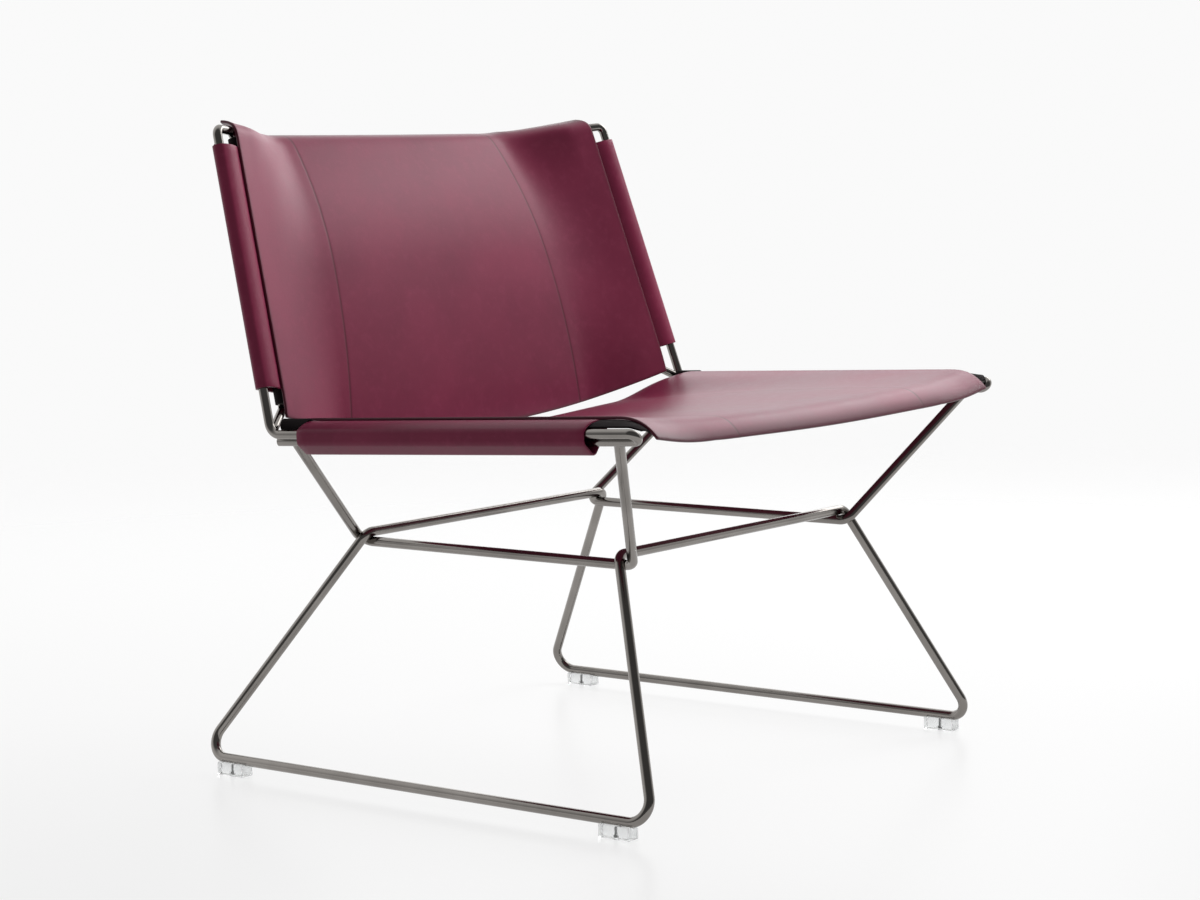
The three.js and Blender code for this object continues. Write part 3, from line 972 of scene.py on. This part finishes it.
@dataclass
class SlingLeather:
    """The panel and the two sleeves of one sling.

    Millimetres; cut_angle and crease are degrees, and plump is radians.
    """

    sling: Sling
    linings: tuple[Lining, ...]
    lip_lining_end: float = 0.0
    seam_inset: float = 164.0
    seam_depth: float = 0.12
    seam_reach: float = 1.5
    seam_margin: float = 6.0
    flap_past_seam: float = 6.0
    flap_ease: float = 14.0
    burnish: float = 2.5
    # How much farther the darker edge band reaches along the curled end than along the side edges.
    lip_band_stretch: float = 2.4
    cut_round: float = 0.9
    cut_angle: float = 60.0
    crease: float = 45.0
    plump: float = 0.40
    lining_ply: float = 2.0
    lip_lining_turn: float = 6.0
    lip_lining_edge: float = 2.0
    lip_lining_rod: float = 3.0
    lip_lining_bow: float = 1.5
    wing_columns: int = 40
    seam_columns: int = 18
    middle_columns: int = 24
    flap_columns: int = 24
    heel_rows: int = 14
    body_rows: int = 56
    lip_rows: int = 24
    arc_steps: int = 16
    sleeve_rows: int = 40
    lining_steps: int = 24
    lining_sides: int = 32
    passes: int = 3
    cut_steps: int = 120

    @property
    def lining_radius(self) -> float:
        """Radius of the middle layer of a lining round a rod."""
        return self.sling.loop_rod / 2 + self.sling.gap + self.lining_ply / 2

    @property
    def flap_end(self) -> float:
        """Distance inboard of the edge of a sleeve's rear layer."""
        return self.seam_inset + self.flap_past_seam

    def stations(self) -> list[Place]:
        """Columns of the panel from a side edge to the middle.

        Returns:
            Each column's fixed distance inboard, and its share of the way from there to the middle.
        """
        near = self.seam_inset - self.seam_margin
        past = self.seam_inset + self.seam_margin
        wing = spread(self.sling.shape.edge_inset, near, self.wing_columns)[:-1]
        seam = spread(near, past, self.seam_columns)[:-1]
        middle = spread(0.0, 1.0, self.middle_columns)
        return [(inset, 0.0) for inset in wing + seam] + [(past, share) for share in middle]

    def row_place(self, across: float, row: int) -> float:
        """Place along of a row of the panel.

        Args:
            across: Place across the panel, from -1 to 1.
            row: Number of the row.

        Returns:
            The place along.
        """
        shape = self.sling.shape
        if row < self.heel_rows:
            return shape.sleeve_start - self.sling.heel_at(across) * (1 - row / self.heel_rows)
        body = row - self.heel_rows
        if body <= self.body_rows:
            share = body / self.body_rows
            return shape.sleeve_start + (self.sling.lip_start - shape.sleeve_start) * share
        return self.sling.lip_start + shape.lip_length * (body - self.body_rows) / self.lip_rows

    def groove(self, inboard: float) -> float:
        """Share of the seam's depth at a distance inboard."""
        return math.exp(-(((inboard - self.seam_inset) / self.seam_reach) ** 2))

    def build_panel(self, leather: Material) -> Piece:
        """Lays the panel on the sling and gives it its thickness.

        Args:
            leather: Its finish.

        Returns:
            The panel.
        """
        sling, shape = self.sling, self.sling.shape
        stations = self.stations()
        columns = 2 * (len(stations) - 1)

        def lay(column: int, row: int) -> Marked:
            """Place of a point with its edge mark and its seam mark."""
            side = -1 if column < columns / 2 else 1
            inset, share = stations[min(column, columns - column)]
            along = shape.sleeve_start
            # A row's place depends on the width there, so each pass comes nearer to both.
            for _ in range(self.passes):
                half = sling.rail_half(along) * math.cos(sling.taper)
                inboard = inset + (half - inset) * share
                x = side * (half - inboard) / math.cos(sling.taper)
                along = self.row_place(x / sling.panel_half(along), row)
            groove = self.groove(inboard)
            heel = along - shape.sleeve_start + sling.heel_at(x / sling.panel_half(along))
            rim = min(inboard - shape.edge_inset, (sling.end - along) / self.lip_band_stretch, heel)
            behind = sling.depth(x, along) + self.seam_depth * groove
            # The seam mark carries the groove's share, which the leather darkens as painted shade.
            return sling.point(x, behind, along), math.exp(-((rim / self.burnish) ** 2)), groove

        rows = self.heel_rows + self.body_rows + self.lip_rows
        piece = Bench.sheet(f"{sling.name}_leather", columns, rows, lay)
        self._thicken(piece, sling.panel)
        return Bench.hand_over(piece, [leather], Slot.LEATHER, f"{sling.name}_panel")

    def _thicken(self, piece: Piece, thickness: float) -> None:
        """Gives a sheet its thickness and rounds its cut edges.

        Args:
            piece: The sheet.
            thickness: Thickness in millimetres.
        """
        size = thickness * MM
        Bench.modify(piece, "SOLIDIFY", thickness=size, offset=0.0, use_even_offset=True)
        Bench.bevel(piece, self.cut_round, 2, self.cut_angle)
        Bench.smooth(piece, self.crease)

    def section(self) -> list[Place]:
        """Middle line of a sleeve across the rods, from its tail in front round both rods to the rear.

        Returns:
            Distance inboard and depth behind the outer rod.
        """
        sling, shape = self.sling, self.sling.shape
        radius = sling.loop_rod / 2 + sling.gap + sling.ply / 2
        pitch = sling.pitch * math.cos(sling.taper)
        slack = shape.sleeve_slack
        meeting_x = pitch + radius + sling.ply / 2 + shape.meet_inset
        edge = (shape.edge_inset, sling.face(shape.edge_inset, 0.5))
        meeting = (meeting_x, sling.face(meeting_x, 1.5))
        square = math.atan2(pitch, -sling.drop)
        line = [(shape.tail_end, sling.face(shape.tail_end, 0.5)), edge]
        leave = self._tangent(edge, (0.0, 0.0), radius, -1) - self.plump
        outer = self._arc((0.0, 0.0), radius, leave, -math.pi)
        line += self._bow(edge, outer[0], leave) + outer
        line += self._arc((0.0, slack), radius, -math.pi, square - 2 * math.pi)
        touch = self._tangent(meeting, (pitch, sling.drop + slack), radius, 1)
        line += self._arc((pitch, sling.drop + slack), radius, square, touch)
        return line + [meeting, (shape.tail_end, sling.face(shape.tail_end, 1.5))]

    def _bow(self, start: Place, stop: Place, angle: float) -> list[Place]:
        """Plump curve that runs from a place into an arc.

        Args:
            start: Where it starts.
            stop: First point of the arc.
            angle: Angle of that point on the arc.

        Returns:
            Points between the start and the stop.
        """
        begin, end = Vector(start), Vector(stop)
        heading = Vector((-math.sin(angle), math.cos(angle)))
        middle = end + heading * ((begin - end).length / 2)
        shares = spread(0.0, 1.0, self.arc_steps)[1:-1]
        return [tuple(begin.lerp(middle, t).lerp(middle.lerp(end, t), t)) for t in shares]

    @staticmethod
    def _tangent(point: Place, centre: Place, radius: float, side: int) -> float:
        """Angle on a circle of the tangent from a point outside it, on the side of 1 or -1."""
        dx, dy = point[0] - centre[0], point[1] - centre[1]
        return math.atan2(dy, dx) + side * math.acos(radius / math.hypot(dx, dy))

    def _arc(self, centre: Place, radius: float, start: float, stop: float) -> list[Place]:
        """Points on an arc from one angle to another."""
        angles = spread(start, stop, self.arc_steps)
        return [(centre[0] + radius * math.cos(a), centre[1] + radius * math.sin(a)) for a in angles]

    def build_sleeve(self, finishes: Sequence[Material]) -> Piece:
        """Folds the left sleeve round its rods and leads its rear layer to the seam.

        Args:
            finishes: Finishes of the sleeve and of its linings.

        Returns:
            The sleeve.
        """
        sling, shape = self.sling, self.sling.shape
        section = self.section()
        flap = spread(shape.tail_end, self.flap_end, self.flap_columns)[1:]

        def lay(column: int, row: int) -> Marked:
            """Place of a point, without marks."""
            share = row / self.sleeve_rows
            run = shape.sleeve_start + (shape.sleeve_end - shape.sleeve_start) * share
            run /= math.cos(sling.taper)
            if column < len(section):
                inboard, behind = section[column]
                x, along = sling.beside(run, inboard)
            else:
                inboard = flap[column - len(section)]
                x, along = sling.beside(run, inboard)
                ease = min(1.0, (inboard - shape.tail_end) / self.flap_ease)
                layers = sling.panel / 2 + sling.gap + sling.ply * (1.5 - ease * (3 - 2 * ease) * ease)
                slope_x = sling.depth(x + 1, along) - sling.depth(x - 1, along)
                slope_along = sling.depth(x, along + 1) - sling.depth(x, along - 1)
                behind = sling.depth(x, along) + layers * math.hypot(1, slope_x / 2, slope_along / 2)
            return sling.point(x, behind, along), 0.0, 0.0

        columns = len(section) + len(flap) - 1
        piece = Bench.sheet(f"{sling.name}_sleeve_leather_left", columns, self.sleeve_rows, lay)
        self._thicken(piece, sling.ply)
        linings = [self.build_lining(lining) for lining in self.linings]
        if self.lip_lining_end:
            linings.append(self.build_lip_lining())
        for part in (piece, *linings):
            for material in finishes:
                part.data.materials.append(material)
        Bench.take(piece, *linings)
        bpy.ops.object.join()
        return piece

    def build_lining(self, lining: Lining) -> Piece:
        """Black lining of the left sleeve that shows past its end as a tube.

        Args:
            lining: Its sizes.

        Returns:
            The lining.
        """
        start, stop = (
            self.sling.point(self.sling.rail_half(along) - lining.inboard, lining.behind, along)
            for along in (lining.start, lining.stop)
        )
        tube = Bench.add(
            bpy.ops.mesh.primitive_cylinder_add,
            f"{self.sling.name}_lining",
            vertices=self.lining_sides,
            radius=self.lining_radius * MM,
            depth=(stop - start).length * MM,
            end_fill_type="NOTHING",
            location=(start + stop) / 2 * MM,
            rotation=(stop - start).to_track_quat("Z", "Y").to_euler(),
        )
        return self._line(tube)

    def build_lip_lining(self) -> Piece:
        """Black lining between the left edge of the panel's curl and the closed end of the rods.

        Returns:
            The lining.
        """
        sling, steps = self.sling, self.lining_steps
        start = sling.shape.sleeve_end + sling.gap

        def lay(column: int, row: int) -> Marked:
            """Place of a point, without marks."""
            down = column / steps
            along = start + (self.lip_lining_end - start) * row / steps
            turned = max(0.0, along - sling.length + self.lip_lining_turn)
            x = sling.panel_half(along) - self.lip_lining_edge
            under = sling.depth(x, along) + sling.panel / 2 + sling.gap + self.lining_ply / 2
            x_rod = sling.rail_half(along) - self.lip_lining_rod - turned
            low = sling.point(x_rod, turned / 2 - self.lining_radius, along)
            bow = sling.behind * (-self.lip_lining_bow * math.sin(math.pi * down))
            return sling.point(x, under, along).lerp(low, down) + bow, 0.0, 0.0

        return self._line(Bench.sheet(f"{sling.name}_lip_lining", steps, steps, lay))

    def _line(self, lining: Piece) -> Piece:
        """Gives a lining its thickness, and the second finish of its sleeve.

        Args:
            lining: The lining as a sheet.

        Returns:
            The lining.
        """
        Bench.modify(lining, "SOLIDIFY", thickness=self.lining_ply * MM, offset=0.0)
        for polygon in lining.data.polygons:
            polygon.material_index = 1
        Bench.smooth(lining, self.crease)
        return lining

    def build(self, leather: Material, folded: Sequence[Material]) -> None:
        """Builds the panel and both sleeves.

        Args:
            leather: Finish of the panel.
            folded: Finishes of the sleeves and of their linings.
        """
        name = self.sling.name
        panel = self.build_panel(leather)
        left = self.build_sleeve(folded)
        width, length, area = self.sleeve_cut()
        right = Bench.mirror(left, f"{name}_sleeve_leather_right")
        for side, piece in zip(Side, (left, right)):
            Bench.hand_over(piece, folded, Slot.LEATHER, f"{name}_sleeve_{side.value}")
        width, length, area = self.panel_cut()

    def panel_cut(self) -> Triple:
        """Cut of the panel before it is stretched.

        Returns:
            Flat width, length and area in metres.
        """
        sling = self.sling
        rows = []
        for share in spread(0.0, 1.0, self.cut_steps):
            row = []
            for across in spread(-1.0, 1.0, self.cut_steps):
                heel = sling.shape.sleeve_start - sling.heel_at(across)
                along = heel + (sling.end - heel) * share
                x = across * sling.panel_half(along)
                row.append(sling.point(x, sling.depth(x, along), along) * MM)
            rows.append(row)
        area = 0.0
        for low, high in zip(rows, rows[1:]):
            for a, b, c, d in zip(low, low[1:], high, high[1:]):
                area += ((b - a).cross(c - a).length + (b - d).cross(c - d).length) / 2
        return max(map(path_length, rows)), max(map(path_length, zip(*rows))), area

    def sleeve_cut(self) -> Triple:
        """Cut of a sleeve with its linings.

        Returns:
            Flat width round the rods, length and area in metres.
        """
        shape = self.sling.shape
        wrap = path_length([Vector(place) for place in self.section()])
        width = wrap + self.flap_end - shape.tail_end
        length = shape.sleeve_end - shape.sleeve_start
        past = [lining.stop - lining.start for lining in self.linings]
        area = math.tau * self.lining_radius * sum(past)
        if self.lip_lining_end:
            past.append(self.lip_lining_end - shape.sleeve_end)
            area += past[-1] * shape.edge_inset
        return width * MM, (length + sum(past)) * MM, (area + width * length) * MM * MM


@dataclass
class Glides:
    """Clear glides under the runners, with their screws.

    Millimetres; crease and screw_angle are degrees.
    """

    length: float = 38.0
    width: float = 17.0
    height: float = 14.0
    rounding: float = 1.2
    rod: float = ChairFrame.rod
    gap: float = 0.3
    runner_height: float = ChairFrame.runner_height
    groove_sides: int = 48
    overshoot: float = 1.0
    head: float = 7.0
    head_height: float = 2.5
    head_wall: float = 1.5
    recess_depth: float = 1.4
    shank: float = 3.6
    sink: float = 1.7
    bite: float = 5.0
    threads: int = 9
    thread_depth: float = 0.35
    screw_round: float = 0.3
    screw_angle: float = 68.75
    sides: int = 32
    crease: float = 30.0

    def cylinder(self, name: str, diameter: float, bottom: float, top: float) -> Piece:
        """Upright cylinder at the origin.

        Args:
            name: Its name.
            diameter: Diameter.
            bottom: Height of its lower face.
            top: Height of its upper face.

        Returns:
            The cylinder.
        """
        return Bench.add(
            bpy.ops.mesh.primitive_cylinder_add,
            name,
            vertices=self.sides,
            radius=diameter / 2 * MM,
            depth=(top - bottom) * MM,
            location=(0, 0, (bottom + top) / 2 * MM),
        )

    def block(self) -> Piece:
        """Glide at the origin: a block with a groove for the runner and a sunk screw hole.

        Returns:
            The block.
        """
        piece = Bench.add(
            bpy.ops.mesh.primitive_cube_add,
            "glide_block",
            size=1,
            location=(0, 0, self.height / 2 * MM),
            scale=(self.width * MM, self.length * MM, self.height * MM),
        )
        Bench.bevel(piece, self.rounding, 3, self.crease)
        groove = Bench.add(
            bpy.ops.mesh.primitive_cylinder_add,
            "runner_tool",
            vertices=self.groove_sides,
            radius=(self.rod / 2 + self.gap) * MM,
            depth=self.length * 2 * MM,
            location=(0, 0, self.runner_height * MM),
            rotation=(math.pi / 2, 0, 0),
        )
        Bench.cut(piece, groove)
        for tool, diameter, top in (
            ("head_tool", self.head, self.sink + self.head_height + self.gap),
            ("shank_tool", self.shank, self.height + self.overshoot),
        ):
            Bench.cut(piece, self.cylinder(tool, diameter + 2 * self.gap, -self.overshoot, top))
        Bench.smooth(piece, self.crease)
        return piece

    def screw(self) -> Piece:
        """Screw at the origin: a head with a round recess, and a shank with rings for its thread.

        Returns:
            The screw.
        """
        top = self.sink + self.head_height
        piece = self.cylinder("glide_screw_body", self.head, self.sink, top)
        Bench.edit_faces(piece, lambda middle: middle.z < self.sink * MM + TOUCH)
        bpy.ops.mesh.inset(thickness=self.head_wall * MM)
        Bench.extrude(Vector((0, 0, self.recess_depth)))
        Bench.edit_faces(piece, lambda middle: middle.z > top * MM - TOUCH)
        bpy.ops.mesh.inset(thickness=(self.head - self.shank) / 2 * MM)
        tip = self.runner_height - self.rod / 2 + self.bite
        wide = self.shank / (self.shank - 2 * self.thread_depth)
        for i in range(2 * self.threads):
            Bench.extrude(Vector((0, 0, (tip - top) / (2 * self.threads))))
            scale = 1 / wide if i % 2 == 0 else wide
            bpy.ops.transform.resize(value=(scale, scale, 1), center_override=(0, 0, 0))
        Bench.close(piece)
        Bench.bevel(piece, self.screw_round, 2, self.screw_angle)
        Bench.smooth(piece, self.crease)
        return piece

    def build(self, plastic: Material, steel: Material) -> None:
        """Copies the glide and its screw to the four places that the CAD nodes give.

        Args:
            plastic: Finish of the glides.
            steel: Finish of the screws.
        """
        block, screw = self.block(), self.screw()
        for side in Side:
            for end in End:
                place = f"{end.value}_{side.value}"
                low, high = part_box(f"glide_{place}")
                spot = Vector(((low.x + high.x) / 2, (low.y + high.y) / 2, 0))
                for source, name, node, finish, slot in (
                    (block, "clear_glide", "glide", plastic, Slot.PLASTIC),
                    (screw, "runner_screw", "glide_screw", steel, Slot.STEEL),
                ):
                    piece = Bench.copy(source, f"{name}_{place}")
                    piece.data.transform(Matrix.Translation(spot))
                    Bench.hand_over(piece, [finish], slot, f"{node}_{place}")
        for source in (block, screw):
            bpy.data.objects.remove(source)


@dataclass(frozen=True)
class Lamp:
    """Soft rectangular lamp. Metres and watts."""

    name: str
    place: Triple
    size: Place
    power: float
    mirrored: bool = True

    def build(self, aim: Vector) -> None:
        """Sets the lamp up.

        Args:
            aim: Place that it faces.
        """
        data = bpy.data.lights.new(self.name, "AREA")
        data.shape = "RECTANGLE"
        data.size, data.size_y = self.size
        data.energy = self.power
        lamp = bpy.data.objects.new(self.name, data)
        bpy.context.scene.collection.objects.link(lamp)
        lamp.location = self.place
        lamp.rotation_euler = (aim - Vector(self.place)).to_track_quat("-Z", "Y").to_euler()
        lamp.visible_camera = False
        lamp.visible_glossy = self.mirrored


@dataclass
class Studio:
    """Pale floor, soft light and the camera. Metres and degrees."""

    floor_radius: float = 6.0
    floor_sides: int = 64
    floor_clear: float = 1.3
    floor_fade: float = 3.6
    floor_glow: float = 0.76
    floor_tone: float = 0.08
    floor_bounce: float = 0.52
    floor_roughness: float = 0.30
    floor_sheen: float = 0.04
    white: float = 0.955
    dark_side: Triple = (-0.62, -0.78, 0.0)
    dark_blend: float = 0.30
    mirrored: Place = (0.12, 0.955)
    ambient: Place = (0.36, 0.44)
    lamp_aim: Triple = (0.0, 0.0, 0.4)
    lamps: tuple[Lamp, ...] = (
        Lamp("key_softbox", (2.5, -0.8, 1.9), (1.4, 1.4), 100.0, mirrored=False),
        Lamp("side_card", (2.2, -0.1, 1.8), (1.5, 0.9), 14.0),
        Lamp("seat_card", (2.2, 1.4, 1.25), (1.8, 0.8), 5.0),
    )
    camera_place: Triple = (-2.524, -1.923, 0.6785)
    azimuth: float = -52.88
    elevation: float = 6.02
    roll: float = -0.92
    sensor_mm: float = 36.0
    focal_pixels: float = 2837.0
    picture_pixels: float = 1200.0

    def world(self) -> None:
        """White surroundings that darken towards the camera's side, as in a studio."""
        world = bpy.data.worlds.new("studio_white")
        bpy.context.scene.world = world
        paint = Paint(world)
        heading = paint.node("ShaderNodeTexCoord", output="Generated")
        toward = {0: heading, 1: self.dark_side}
        facing = paint.node("ShaderNodeVectorMath", {"operation": "DOT_PRODUCT"}, toward, "Value")
        bright = paint.ease(facing, self.dark_blend, -self.dark_blend)
        mirror = paint.ray("Glossy")
        lit = self.ambient[0] + bright * (self.ambient[1] - self.ambient[0])
        shown = self.mirrored[0] + bright * (self.mirrored[1] - self.mirrored[0])
        seen = paint.ray("Camera").at_least(paint.ray("Transmission"))
        strength = (lit * (1 - mirror) + shown * mirror) * (1 - seen) + seen * self.white
        glow = {"Color": (1, 1, 1), "Strength": strength}
        paint.close(paint.node("ShaderNodeBackground", inputs=glow))

    def floor(self) -> None:
        """Pale floor with a faint sheen that fades into the white surroundings."""
        floor = Bench.add(
            bpy.ops.mesh.primitive_circle_add,
            "studio_floor",
            vertices=self.floor_sides,
            radius=self.floor_radius,
            fill_type="NGON",
        )
        paint = Paint(bpy.data.materials.new("pale_floor"))
        seen = paint.ray("Camera").at_least(paint.ray("Glossy")).at_least(paint.ray("Transmission"))
        paper = paint.node(
            "ShaderNodeBsdfPrincipled",
            inputs={
                "Base Color": (self.floor_tone,) * 3,
                "Roughness": self.floor_roughness,
                "Specular IOR Level": self.floor_sheen,
                "Emission Color": paint.mix(seen, (self.floor_bounce,) * 3, (1, 1, 1)),
                "Emission Strength": self.floor_glow,
            },
        )
        away = paint.node("ShaderNodeVectorMath", {"operation": "LENGTH"}, {0: paint.place()}, "Value")
        fade = paint.ease(away, self.floor_clear, self.floor_fade)
        clear = paint.node("ShaderNodeBsdfTransparent")
        blend = paint.node("ShaderNodeMixShader", inputs={0: fade, 1: paper, 2: clear})
        floor.data.materials.append(paint.close(blend))

    def camera(self, shift: float) -> None:
        """Camera at the photograph's angle.

        Args:
            shift: Middle of the runners ahead of the origin, in metres along Y.
        """
        azimuth, elevation, roll = map(math.radians, (self.azimuth, self.elevation, self.roll))
        level = math.cos(elevation)
        back = Vector((math.sin(azimuth) * level, -math.cos(azimuth) * level, math.sin(elevation)))
        right = Vector((math.cos(azimuth), math.sin(azimuth), 0))
        up = back.cross(right)
        turned_right = right * math.cos(roll) + up * math.sin(roll)
        turned_up = up * math.cos(roll) - right * math.sin(roll)
        data = bpy.data.cameras.new("studio_camera")
        data.sensor_fit = "HORIZONTAL"
        data.sensor_width = self.sensor_mm
        data.lens = self.sensor_mm * self.focal_pixels / self.picture_pixels
        camera = bpy.data.objects.new("studio_camera", data)
        bpy.context.scene.collection.objects.link(camera)
        turn = Matrix((turned_right, turned_up, back)).transposed()
        x, y, z = self.camera_place
        camera.matrix_world = Matrix.Translation((x, y + shift, z)) @ turn.to_4x4()
        bpy.context.scene.camera = camera

    def build(self, shift: float) -> None:
        """Sets up the whole studio.

        Args:
            shift: Middle of the runners ahead of the origin, in metres along Y.
        """
        bpy.context.scene.view_settings.view_transform = "Standard"
        self.world()
        self.floor()
        for lamp in self.lamps:
            lamp.build(Vector(self.lamp_aim))
        self.camera(shift)
        log.info("studio ready")


def make_slings(rods: ChairFrame, recline: float = 16.8, rise: float = 2.5) -> tuple[Sling, Sling]:
    """Slings of the back and of the seat.

    Args:
        rods: Frame that carries them.
        recline: Degrees of the back from upright.
        rise: Degrees of the seat up to the front.

    Returns:
        The back's sling and the seat's sling.
    """
    lean, tilt = math.radians(recline), math.radians(rise)
    back = Sling(
        "back",
        length=335.0,
        end_spread=682.0,
        pitch=35.0,
        drop=10.0,
        along=Vector((0, math.sin(lean), math.cos(lean))),
        behind=Vector((0, math.cos(lean), -math.sin(lean))),
        corner=rods.corner,
        shape=SlingShape(
            sleeve_start=50.0,
            sleeve_end=316.0,
            sleeve_slack=0.0,
            meet_inset=5.0,
            tail_end=50.0,
            wing_margin=2.0,
            edge_inset=26.0,
            edge_lift=0.0,
            wing_slope=0.28,
            sag_start=4.0,
            sag_end=2.0,
            start_roll_length=154.0,
            start_roll_drop=15.0,
            end_roll_length=171.0,
            end_roll_drop=34.0,
            heel_length=34.0,
            heel_drop=1.5,
            heel_bow=30.0,
            lip_inset=0.0,
            lip_length=32.5,
            lip_drop=20.0,
            lip_flare=15.0,
            lip_power=5.0,
        ),
    )
    seat = Sling(
        "seat",
        length=453.0,
        end_spread=691.0,
        pitch=10.0,
        drop=8.0,
        along=Vector((0, -math.cos(tilt), math.sin(tilt))),
        behind=Vector((0, -math.sin(tilt), -math.cos(tilt))),
        corner=rods.corner,
        shape=SlingShape(
            sleeve_start=40.0,
            sleeve_end=400.0,
            sleeve_slack=6.0,
            meet_inset=20.0,
            tail_end=48.0,
            wing_margin=4.0,
            edge_inset=24.0,
            edge_lift=14.0,
            wing_slope=0.12,
            sag_start=12.0,
            sag_end=3.5,
            start_roll_length=386.0,
            start_roll_drop=16.5,
            end_roll_length=120.0,
            end_roll_drop=0.5,
            heel_length=32.0,
            heel_drop=6.0,
            heel_bow=6.0,
            lip_inset=12.0,
            lip_length=51.0,
            lip_drop=21.0,
            lip_tuck=1.4,
            lip_flare=1.5,
            lip_power=3.0,
        ),
    )
    return back, seat


def make_leathers(back: Sling, seat: Sling) -> tuple[SlingLeather, SlingLeather]:
    """Leathers of the back and of the seat, with the linings that show past their sleeves.

    Args:
        back: Sling of the back.
        seat: Sling of the seat.

    Returns:
        The back's leather and the seat's leather.
    """
    low = Lining(33.0, back.shape.sleeve_start - back.gap, back.pitch, back.drop)
    high = Lining(back.shape.sleeve_end + back.gap, 326.0, back.pitch, back.drop)
    rear = Lining(6.0, seat.shape.sleeve_start - seat.gap, inboard=14.5, behind=-8.5)
    return SlingLeather(back, (low, high)), SlingLeather(seat, (rear,), lip_lining_end=455.0)


def main() -> None:
    logging.basicConfig(level=logging.INFO, format="%(message)s")
    low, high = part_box("glide_front_left")
    shift = (low.y + high.y) / 2 / MM + ChairFrame.runner_length / 2 - ChairFrame.glide_inset
    Studio().build(shift * MM)
    leather = LeatherFace().material()
    # The sleeves' grain is a copy of the panel's with less sheen: painted shade that dims the
    # reflection on the sleeves, though they are the same leather.
    folded = [
        LeatherFace("burgundy_grain_dimmed_sheen", sheen=0.24).material(),
        LeatherReverse().material(),
    ]
    chrome = SmokedChrome().material()
    rods = ChairFrame(shift)
    back, seat = make_slings(rods)
    rods.build(back, seat, chrome)
    for sling_leather in make_leathers(back, seat):
        sling_leather.build(leather, folded)
    Glides().build(ClearPlastic().material(), DarkSteel().material())
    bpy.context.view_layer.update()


if __name__ == "__main__":
    main()
